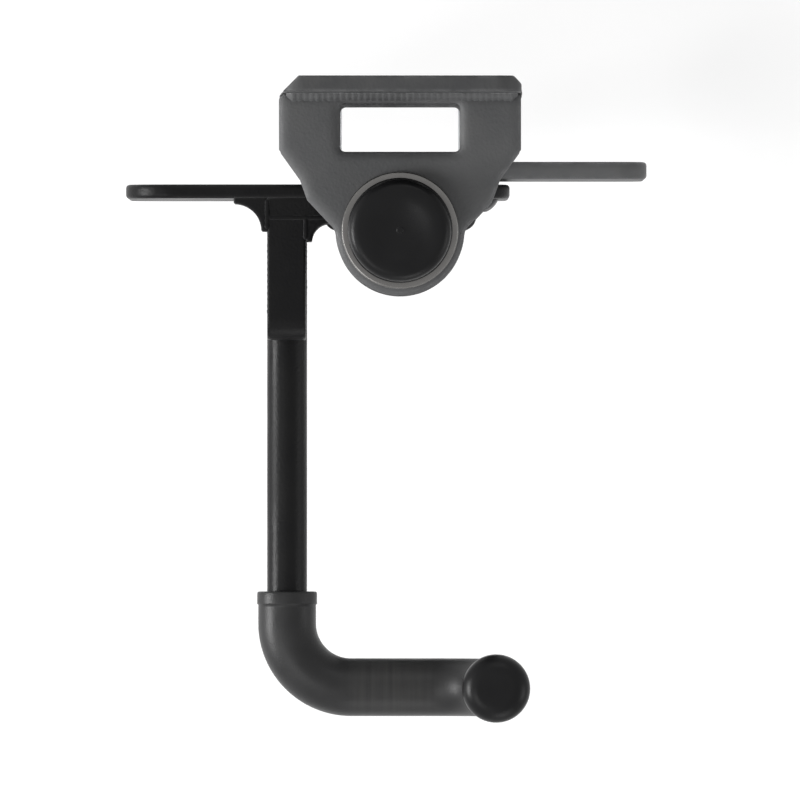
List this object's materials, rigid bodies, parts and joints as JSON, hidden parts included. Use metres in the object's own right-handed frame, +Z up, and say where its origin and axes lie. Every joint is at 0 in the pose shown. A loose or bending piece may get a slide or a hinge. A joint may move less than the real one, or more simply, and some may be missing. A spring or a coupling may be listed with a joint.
{
  "type": "wall-mounted bike rack",
  "caption": "Steel wall bracket with two windowed lugs, a swivelling hook arm with a rubber-sleeved hook for a bicycle's wheel, and a broad plate with a rubber pad for the tyre.",
  "frame": {"origin": "centre of the four fixing holes on the wall plate's back face, level with the middle of the arm", "axes": "+X right as seen from the room, +Y into the wall, +Z up"},
  "size_m": [0.133, 0.1605, 0.296],
  "materials": {
    "bracket_paint": "fine-textured dark grey powder coat",
    "black_paint": "fine-textured black powder coat",
    "zinc_steel": "bright zinc plate",
    "black_steel": "black oxide",
    "dark_steel": "oiled dark steel",
    "nylon": "natural nylon",
    "insert_nylon": "blue nylon",
    "cap_plastic": "fine-grained black plastic",
    "pad_rubber": "matt black rubber",
    "sleeve_rubber": "satin black rubber"
  },
  "bodies": {
    "bracket": {"wall_plate": "bracket_paint", "upper_lug": "bracket_paint", "lower_lug": "bracket_paint", "rest_plate": "black_paint", "rest_pad": "pad_rubber", "side_wing": "bracket_paint", "wing_washers": "zinc_steel", "plate_spacers": "zinc_steel", "plate_screws": "black_steel", "pivot_bolt": "zinc_steel", "top_washer": "dark_steel", "bolt_cap": "cap_plastic", "upper_thrust_washer": "nylon", "lower_thrust_washer": "nylon", "disc_springs": "dark_steel", "bottom_washer": "zinc_steel", "lock_nut": "zinc_steel", "nut_insert": "insert_nylon", "nut_cap": "cap_plastic", "stop_pins": "zinc_steel", "stop_buffers": "pad_rubber"},
    "arm": {"swivel_tube": "black_paint", "upper_bush": "nylon", "lower_bush": "nylon", "stop_finger": "black_paint", "arm_link": "black_paint", "arm_bar": "black_paint", "arm_gussets": "black_paint", "hook_rod": "black_paint", "hook_sleeve": "sleeve_rubber", "tip_cap": "cap_plastic"}
  },
  "joints": [
    {"name": "arm_swivel", "type": "hinge", "parent": "bracket", "child": "arm", "pos_m": [0, -0.038, 0], "axis": [0, 0, 1], "range_deg": [-45, 45]}
  ]
}
